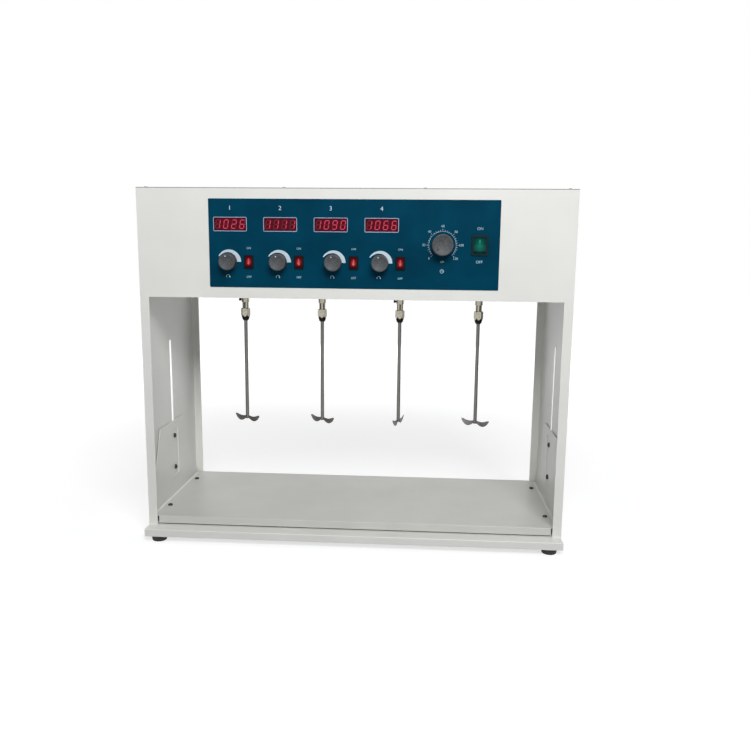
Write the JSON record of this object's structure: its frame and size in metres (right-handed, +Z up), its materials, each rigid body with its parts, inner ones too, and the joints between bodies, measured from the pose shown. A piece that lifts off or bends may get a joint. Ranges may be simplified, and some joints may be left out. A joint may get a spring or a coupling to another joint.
{
  "type": "jar tester",
  "caption": "Bench jar tester: sheet-metal frame with a header box, hanging stirrers with paddles, speed knobs and switches, and a height-adjustable tray.",
  "frame": {"origin": "on the bench, midway between the ends and between front and rear", "axes": "+X to the right end seen from the front, +Y to the rear, +Z up"},
  "size_m": [0.6956, 0.308, 0.5725],
  "materials": {
    "white_enamel": "baked off-white enamel, satin",
    "black_rubber": "moulded black rubber",
    "zinc_screw": "zinc-plated steel",
    "dark_screw": "dark oxide steel",
    "blue_film": "printed polyester film, satin",
    "red_window": "dark red display window",
    "turned_aluminium": "turned and knurled aluminium",
    "black_nylon": "moulded black nylon",
    "red_rocker": "clear red moulding",
    "green_rocker": "clear green moulding",
    "nickel_plate": "nickel-plated steel",
    "stainless": "drawn stainless steel",
    "motor_case": "dark painted steel can",
    "board_green": "green circuit board",
    "core_iron": "laminated iron core with its coil",
    "inlet_black": "black moulded inlet"
  },
  "bodies": {
    "root": {"base_pan": "white_enamel", "feet": "black_rubber", "base_screws": "zinc_screw", "front_panel": "white_enamel", "rear_panel": "white_enamel", "left_side_panel": "white_enamel", "right_side_panel": "white_enamel", "header_floor": "white_enamel", "top_cover": "white_enamel", "cover_screws": "zinc_screw", "motors": "motor_case", "motor_screws": "zinc_screw", "control_overlay": "blue_film", "display_1": "red_window", "display_2": "red_window", "display_3": "red_window", "display_4": "red_window", "speed_pots": "black_nylon", "switch_housings": "black_nylon", "main_switch_housing": "black_nylon", "timer_body": "black_nylon", "control_board": "board_green", "transformer": "core_iron", "power_inlet": "inlet_black"},
    "tray_carriage": {"tray": "white_enamel", "left_bracket": "white_enamel", "right_bracket": "white_enamel", "tray_screws": "dark_screw", "bracket_bolts": "dark_screw", "bracket_nuts": "zinc_screw"},
    "spindle_1": {"spindle_1": "stainless", "chuck_1": "nickel_plate"},
    "clamp_nut_1": {"chuck_nut_1": "nickel_plate"},
    "stirrer_1": {"stirring_rod_1": "stainless", "paddle_1": "stainless"},
    "speed_knob_1": {"speed_knob_1": "turned_aluminium"},
    "rocker_1": {"rocker_1": "red_rocker"},
    "spindle_2": {"spindle_2": "stainless", "chuck_2": "nickel_plate"},
    "clamp_nut_2": {"chuck_nut_2": "nickel_plate"},
    "stirrer_2": {"stirring_rod_2": "stainless", "paddle_2": "stainless"},
    "speed_knob_2": {"speed_knob_2": "turned_aluminium"},
    "rocker_2": {"rocker_2": "red_rocker"},
    "spindle_3": {"spindle_3": "stainless", "chuck_3": "nickel_plate"},
    "clamp_nut_3": {"chuck_nut_3": "nickel_plate"},
    "stirrer_3": {"stirring_rod_3": "stainless", "paddle_3": "stainless"},
    "speed_knob_3": {"speed_knob_3": "turned_aluminium"},
    "rocker_3": {"rocker_3": "red_rocker"},
    "spindle_4": {"spindle_4": "stainless", "chuck_4": "nickel_plate"},
    "clamp_nut_4": {"chuck_nut_4": "nickel_plate"},
    "stirrer_4": {"stirring_rod_4": "stainless", "paddle_4": "stainless"},
    "speed_knob_4": {"speed_knob_4": "turned_aluminium"},
    "rocker_4": {"rocker_4": "red_rocker"},
    "timer_knob": {"timer_knob": "turned_aluminium"},
    "main_rocker": {"main_rocker": "green_rocker"}
  },
  "joints": [
    {"name": "tray_lift", "type": "slide", "parent": "root", "child": "tray_carriage", "axis": [0, 0, 1], "range_m": [0, 0.1]},
    {"name": "spindle_spin_1", "type": "hinge", "parent": "root", "child": "spindle_1", "pos_m": [-0.20155, 0, 0.4], "axis": [0, 0, 1], "continuous": true},
    {"name": "clamp_nut_turn_1", "type": "hinge", "parent": "spindle_1", "child": "clamp_nut_1", "pos_m": [-0.20155, 0, 0.365], "axis": [0, 0, 1], "range_deg": [0, 360]},
    {"name": "rod_slide_1", "type": "slide", "parent": "spindle_1", "child": "stirrer_1", "axis": [0, 0, -1], "range_m": [0, 0.025]},
    {"name": "speed_knob_turn_1", "type": "hinge", "parent": "root", "child": "speed_knob_1", "pos_m": [-0.1947, -0.14, 0.45735], "axis": [0, 1, 0], "range_deg": [-115, 185]},
    {"name": "rocker_tilt_1", "type": "hinge", "parent": "root", "child": "rocker_1", "pos_m": [-0.1635, -0.12855, 0.45735], "axis": [1, 0, 0], "range_deg": [0, 20]},
    {"name": "spindle_spin_2", "type": "hinge", "parent": "root", "child": "spindle_2", "pos_m": [-0.06585, 0, 0.4], "axis": [0, 0, 1], "continuous": true},
    {"name": "clamp_nut_turn_2", "type": "hinge", "parent": "spindle_2", "child": "clamp_nut_2", "pos_m": [-0.06585, 0, 0.365], "axis": [0, 0, 1], "range_deg": [0, 360]},
    {"name": "rod_slide_2", "type": "slide", "parent": "spindle_2", "child": "stirrer_2", "axis": [0, 0, -1], "range_m": [0, 0.025]},
    {"name": "speed_knob_turn_2", "type": "hinge", "parent": "root", "child": "speed_knob_2", "pos_m": [-0.1161, -0.14, 0.45735], "axis": [0, 1, 0], "range_deg": [-115, 185]},
    {"name": "rocker_tilt_2", "type": "hinge", "parent": "root", "child": "rocker_2", "pos_m": [-0.0849, -0.12855, 0.45735], "axis": [1, 0, 0], "range_deg": [0, 20]},
    {"name": "spindle_spin_3", "type": "hinge", "parent": "root", "child": "spindle_3", "pos_m": [0.06985, 0, 0.4], "axis": [0, 0, 1], "continuous": true},
    {"name": "clamp_nut_turn_3", "type": "hinge", "parent": "spindle_3", "child": "clamp_nut_3", "pos_m": [0.06985, 0, 0.365], "axis": [0, 0, 1], "range_deg": [0, 360]},
    {"name": "rod_slide_3", "type": "slide", "parent": "spindle_3", "child": "stirrer_3", "axis": [0, 0, -1], "range_m": [0, 0.025]},
    {"name": "speed_knob_turn_3", "type": "hinge", "parent": "root", "child": "speed_knob_3", "pos_m": [-0.0307, -0.14, 0.45735], "axis": [0, 1, 0], "range_deg": [-115, 185]},
    {"name": "rocker_tilt_3", "type": "hinge", "parent": "root", "child": "rocker_3", "pos_m": [0.0005, -0.12855, 0.45735], "axis": [1, 0, 0], "range_deg": [0, 20]},
    {"name": "spindle_spin_4", "type": "hinge", "parent": "root", "child": "spindle_4", "pos_m": [0.20555, 0, 0.4], "axis": [0, 0, 1], "continuous": true},
    {"name": "clamp_nut_turn_4", "type": "hinge", "parent": "spindle_4", "child": "clamp_nut_4", "pos_m": [0.20555, 0, 0.365], "axis": [0, 0, 1], "range_deg": [0, 360]},
    {"name": "rod_slide_4", "type": "slide", "parent": "spindle_4", "child": "stirrer_4", "axis": [0, 0, -1], "range_m": [0, 0.025]},
    {"name": "speed_knob_turn_4", "type": "hinge", "parent": "root", "child": "speed_knob_4", "pos_m": [0.0417, -0.14, 0.45735], "axis": [0, 1, 0], "range_deg": [-115, 185]},
    {"name": "rocker_tilt_4", "type": "hinge", "parent": "root", "child": "rocker_4", "pos_m": [0.0729, -0.12855, 0.45735], "axis": [1, 0, 0], "range_deg": [0, 20]},
    {"name": "timer_knob_turn", "type": "hinge", "parent": "root", "child": "timer_knob", "pos_m": [0.137, -0.14, 0.48575], "axis": [0, 1, 0], "range_deg": [0, 315]},
    {"name": "main_rocker_tilt", "type": "hinge", "parent": "root", "child": "main_rocker", "pos_m": [0.1936, -0.12747, 0.48575], "axis": [1, 0, 0], "range_deg": [0, 20]}
  ]
}
